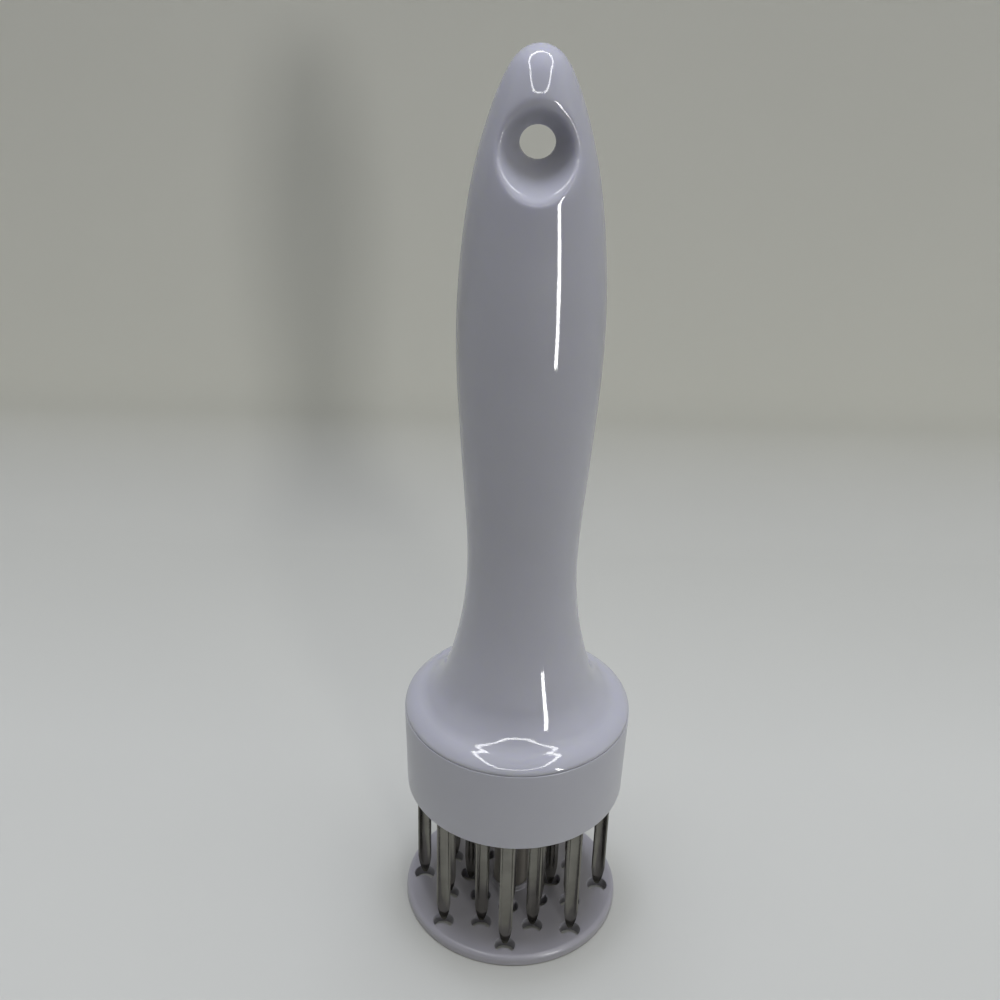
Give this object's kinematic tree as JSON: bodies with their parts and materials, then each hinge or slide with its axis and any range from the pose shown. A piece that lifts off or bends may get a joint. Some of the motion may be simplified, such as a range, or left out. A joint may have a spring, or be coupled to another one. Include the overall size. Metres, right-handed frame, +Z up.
{
  "type": "blade meat tenderizer",
  "caption": "Blade meat tenderizer: bottle-shaped white handle with a hanging hole, round head with rings of gutter-shaped steel blades, and a sprung, slotted foot plate that guards them.",
  "frame": {"origin": "centre of the foot plate's underside, where the tool stands", "axes": "+Z up along the handle; the hanging hole runs along Y; -Y is the front"},
  "size_m": [0.0508, 0.0508, 0.2028],
  "materials": {
    "handle_plastic": "gloss white moulded plastic",
    "ring_plastic": "gloss white moulded plastic",
    "foot_plastic": "gloss white moulded plastic",
    "inner_plastic": "plain white moulded plastic",
    "bush_plastic": "natural acetal",
    "blade_steel": "bright stainless strip with ground points",
    "spring_steel": "drawn stainless wire",
    "screw_steel": "plain stainless"
  },
  "bodies": {
    "grip": {"handle": "handle_plastic", "head_ring": "ring_plastic", "blade_holder": "inner_plastic", "blade_clamp_plate": "inner_plastic", "clamp_screws": "screw_steel", "guide_bush": "bush_plastic", "spring_housing": "inner_plastic", "return_spring": "spring_steel", "blade_outer_1": "blade_steel", "blade_outer_2": "blade_steel", "blade_outer_3": "blade_steel", "blade_outer_4": "blade_steel", "blade_outer_5": "blade_steel", "blade_outer_6": "blade_steel", "blade_outer_7": "blade_steel", "blade_outer_8": "blade_steel", "blade_middle_1": "blade_steel", "blade_middle_2": "blade_steel", "blade_middle_3": "blade_steel", "blade_middle_4": "blade_steel", "blade_middle_5": "blade_steel", "blade_middle_6": "blade_steel", "blade_middle_7": "blade_steel", "blade_middle_8": "blade_steel", "blade_inner_1": "blade_steel", "blade_inner_2": "blade_steel", "blade_inner_3": "blade_steel", "blade_inner_4": "blade_steel", "blade_inner_5": "blade_steel", "blade_inner_6": "blade_steel", "blade_inner_7": "blade_steel", "blade_inner_8": "blade_steel"},
    "foot": {"foot_plate": "foot_plastic", "plunger_stem": "foot_plastic", "foot_screw": "screw_steel", "stop_washer": "screw_steel", "stem_screw": "screw_steel"}
  },
  "joints": [
    {"name": "foot_slide", "type": "slide", "parent": "grip", "child": "foot", "axis": [0, 0, 1], "range_m": [0, 0.033], "stiffness_N_per_m": 540, "springref_m": -0.014, "deforming": ["return_spring"]}
  ]
}
